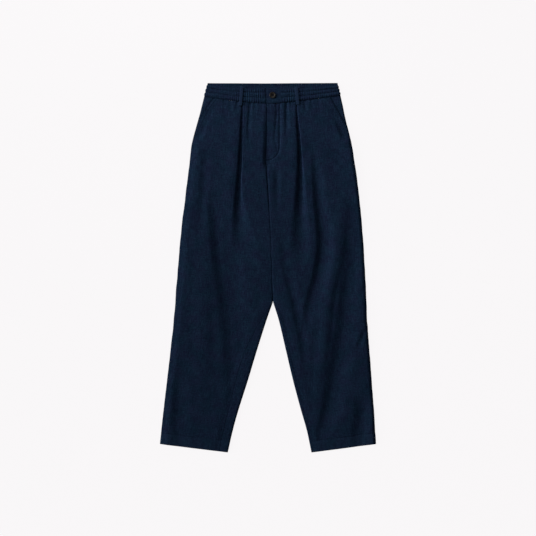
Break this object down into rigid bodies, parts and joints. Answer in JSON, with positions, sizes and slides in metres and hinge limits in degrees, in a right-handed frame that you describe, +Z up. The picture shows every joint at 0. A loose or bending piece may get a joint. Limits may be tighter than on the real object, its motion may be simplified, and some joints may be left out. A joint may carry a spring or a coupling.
{
  "type": "pleated elastic-waist trousers",
  "caption": "Tapered trousers laid flat, with a gathered waistband, forward pleats, slant pockets, belt loops and a button fly.",
  "frame": {"origin": "centre of the garment's box, on the surface that it lies on", "axes": "+Y towards the waist, +X towards the wearer's left, +Z up out of the surface, through the garment's front"},
  "size_m": [0.585, 1, 0.0111],
  "materials": {
    "cloth": "matt soft plain weave, navy",
    "waistband_cloth": "matt soft plain weave, navy, gathered",
    "thread": "matt sewing thread, dark navy",
    "button": "satin dark brown-black"
  },
  "bodies": {
    "root": {"front_right": "cloth", "front_left": "cloth", "back_right": "cloth", "back_left": "cloth", "hip_facing_right": "cloth", "hip_facing_left": "cloth", "waistband_front_right": "waistband_cloth", "waistband_front_left": "waistband_cloth", "waistband_back": "waistband_cloth", "belt_loop_front_right": "waistband_cloth", "belt_loop_front_left": "waistband_cloth", "belt_loop_back_right": "waistband_cloth", "belt_loop_back_middle": "waistband_cloth", "belt_loop_back_left": "waistband_cloth", "fly_button": "button"}
  },
  "joints": []
}
